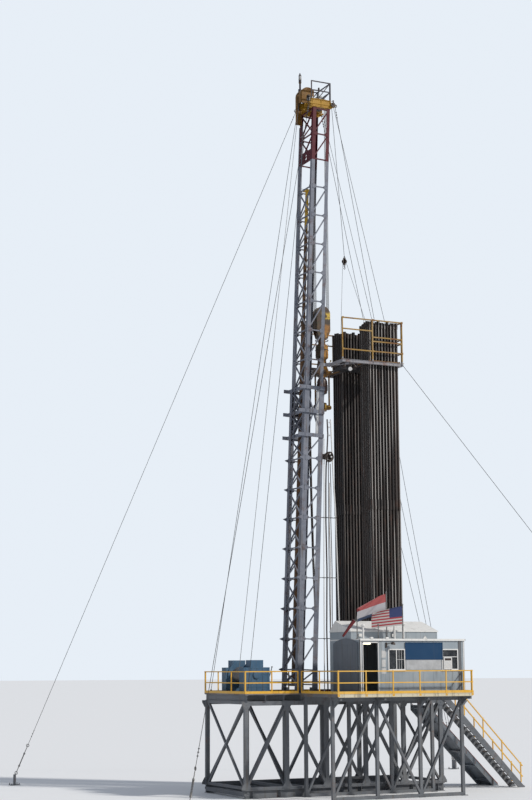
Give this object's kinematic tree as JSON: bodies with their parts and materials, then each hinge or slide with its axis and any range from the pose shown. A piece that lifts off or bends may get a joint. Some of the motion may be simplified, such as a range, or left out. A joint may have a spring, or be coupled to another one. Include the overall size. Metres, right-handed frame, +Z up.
{
  "type": "oil drilling rig",
  "caption": "Guyed telescoping mast on a box substructure with racking board, pipe stands, travelling block, crew house, stair and pipe ramp.",
  "frame": {"origin": "middle of the four ground anchors, on the ground", "axes": "+Z up, +X from the drawworks over the well to the pipe ramp, crew house on the -Y side; the well is at x = -1.25 m"},
  "size_m": [28, 24.67, 37.82],
  "materials": {
    "steel_grey": "weathered grey paint",
    "floor_plate": "worn dark grey tread plate",
    "mast_blue": "weathered light blue-grey paint",
    "mast_red": "weathered maroon paint",
    "ochre": "weathered yellow ochre paint",
    "rail_yellow": "yellow-orange paint",
    "board_white": "light grey paint",
    "pipe": "dark rust and mill scale",
    "bright_steel": "greased wire rope and worn steel",
    "house_paint": "blue-grey paint",
    "roof_paint": "off-white paint",
    "white_paint": "white paint",
    "glass": "dusty window glass",
    "sign_blue": "dark blue paint, bare",
    "table_red": "worn red paint",
    "ramp_red": "scraped red-brown paint",
    "works_blue": "blue machine paint",
    "flag_cloth": "woven flag cloth"
  },
  "bodies": {
    "rig": {"base_frame": "steel_grey", "substructure_sides": "steel_grey", "substructure_braces": "steel_grey", "floor_joists": "steel_grey", "drill_floor": "floor_plate", "rotary_table": "table_red", "mast_shoes": "steel_grey", "lower_mast_sides": "mast_blue", "lower_mast_back": "mast_blue", "mast_collars": "mast_blue", "upper_mast_sides": "mast_blue", "upper_mast_back": "mast_blue", "top_section_sides": "mast_red", "top_section_back": "mast_red", "crown_platform": "ochre", "crown_sheaves": "bright_steel", "crown_guards": "ochre", "crown_railing": "rail_yellow", "scoping_ram": "ochre", "board_frame": "board_white", "board_fingers": "rail_yellow", "board_railing": "ochre", "near_pipe_stands": "pipe", "far_pipe_stands": "pipe", "drill_lines": "bright_steel", "fast_line": "bright_steel", "guy_lines": "bright_steel", "guy_anchors": "steel_grey", "house_floor": "floor_plate", "front_wall": "house_paint", "door_head": "house_paint", "side_walls": "house_paint", "back_wall": "house_paint", "low_roof": "roof_paint", "raised_walls": "house_paint", "raised_roof": "roof_paint", "window_glass": "glass", "door_hinges": "bright_steel", "porch_panel": "house_paint", "house_supports": "steel_grey", "sign_board": "sign_blue", "air_conditioner": "white_paint", "walkway": "floor_plate", "walkway_railing": "rail_yellow", "floor_railing": "rail_yellow", "stair_stringers": "steel_grey", "stair_treads": "floor_plate", "stair_railing": "rail_yellow", "pipe_ramp": "ramp_red", "drawworks": "works_blue", "flag_poles": "bright_steel", "flags": "flag_cloth", "windsock": "flag_cloth"},
    "block": {"travelling_block": "ochre", "hook_and_links": "ochre"},
    "door_leaf": {"door": "house_paint"}
  },
  "joints": [
    {"name": "block_travel", "type": "slide", "parent": "rig", "child": "block", "axis": [0, 0, 1], "range_m": [-13, 8.4], "deforming": ["drill_lines"]},
    {"name": "door_swing", "type": "hinge", "parent": "rig", "child": "door_leaf", "pos_m": [-2.13, -5.39, 4.88], "axis": [0, 0, 1], "range_deg": [-90, 0]}
  ]
}
